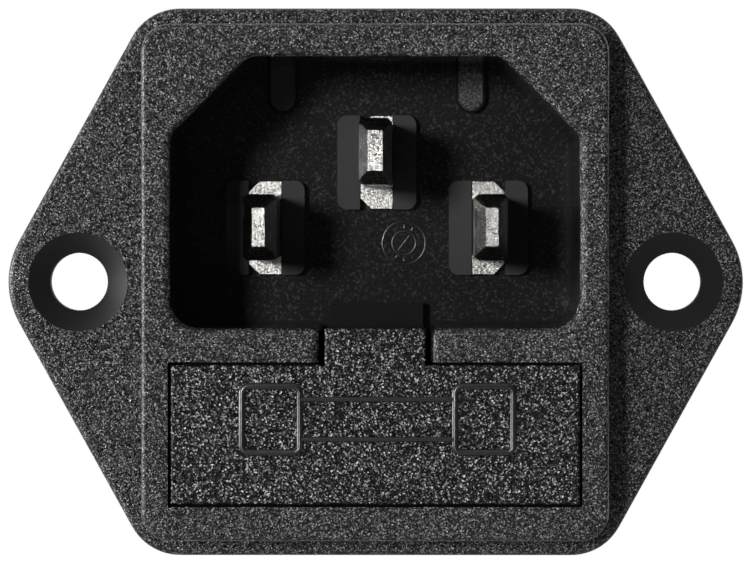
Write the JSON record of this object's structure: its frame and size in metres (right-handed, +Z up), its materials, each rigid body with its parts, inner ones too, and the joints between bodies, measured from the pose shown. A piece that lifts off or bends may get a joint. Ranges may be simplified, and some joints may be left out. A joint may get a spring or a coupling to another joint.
{
  "type": "fused and filtered iec mains inlet",
  "caption": "Screw-fixed mains inlet with a flat-pin appliance socket, a pull-out fuse drawer below it and a filter in a metal can behind.",
  "frame": {"origin": "midway between the two screw holes, on the flange's rear face, which seats on the panel", "axes": "-Y out of the face towards the mating connector, +Y into the panel, +Z up with the socket above the drawer, +X right as seen from the front"},
  "size_m": [0.0444, 0.0535, 0.033],
  "materials": {
    "grained_black_plastic": "fine spark-eroded grain",
    "drawer_plastic": "coarse grain",
    "nickel_plate": "bright nickel plate, scratched at the tips",
    "fuse_glass": "clear",
    "fuse_cap": "nickel plate",
    "fuse_wire": "drawn wire, tinned",
    "spring_bronze": "rolled strip, tinned",
    "tinned_steel": "bright tin plate",
    "polyester_film": "folded film",
    "glass_epoxy": "green laminate",
    "ferrite_coating": "epoxy-coated ferrite",
    "enamelled_copper": "enamelled copper wire",
    "white_nylon": "moulded",
    "capacitor_box": "moulded box",
    "disc_coating": "dipped epoxy",
    "resistor_coating": "lacquered film resistor",
    "black_insulator": "moulded",
    "tinned_brass": "stamped, tin plate"
  },
  "bodies": {
    "inlet": {"inlet_housing": "grained_black_plastic", "line_pin": "nickel_plate", "neutral_pin": "nickel_plate", "earth_pin": "nickel_plate", "fuse_clip_left": "spring_bronze", "fuse_clip_right": "spring_bronze", "filter_can": "tinned_steel", "earth_strap": "tinned_steel", "earth_rivet": "tinned_steel", "insulating_sleeve": "polyester_film", "circuit_board": "glass_epoxy", "choke_core": "ferrite_coating", "choke_winding_line": "enamelled_copper", "choke_winding_neutral": "enamelled_copper", "choke_holder": "white_nylon", "choke_divider": "white_nylon", "x_capacitor": "capacitor_box", "y_capacitor_line": "disc_coating", "y_capacitor_neutral": "disc_coating", "bleed_resistor": "resistor_coating", "terminal_plate": "black_insulator", "line_tab": "tinned_brass", "neutral_tab": "tinned_brass", "earth_tab": "tinned_brass"},
    "drawer": {"fuse_drawer": "drawer_plastic", "working_fuse_glass": "fuse_glass", "working_fuse_caps": "fuse_cap", "working_fuse_wire": "fuse_wire", "spare_fuse_glass": "fuse_glass", "spare_fuse_caps": "fuse_cap", "spare_fuse_wire": "fuse_wire"}
  },
  "joints": [
    {"name": "drawer_slide", "type": "slide", "parent": "inlet", "child": "drawer", "axis": [0, -1, 0], "range_m": [0, 0.018]}
  ]
}
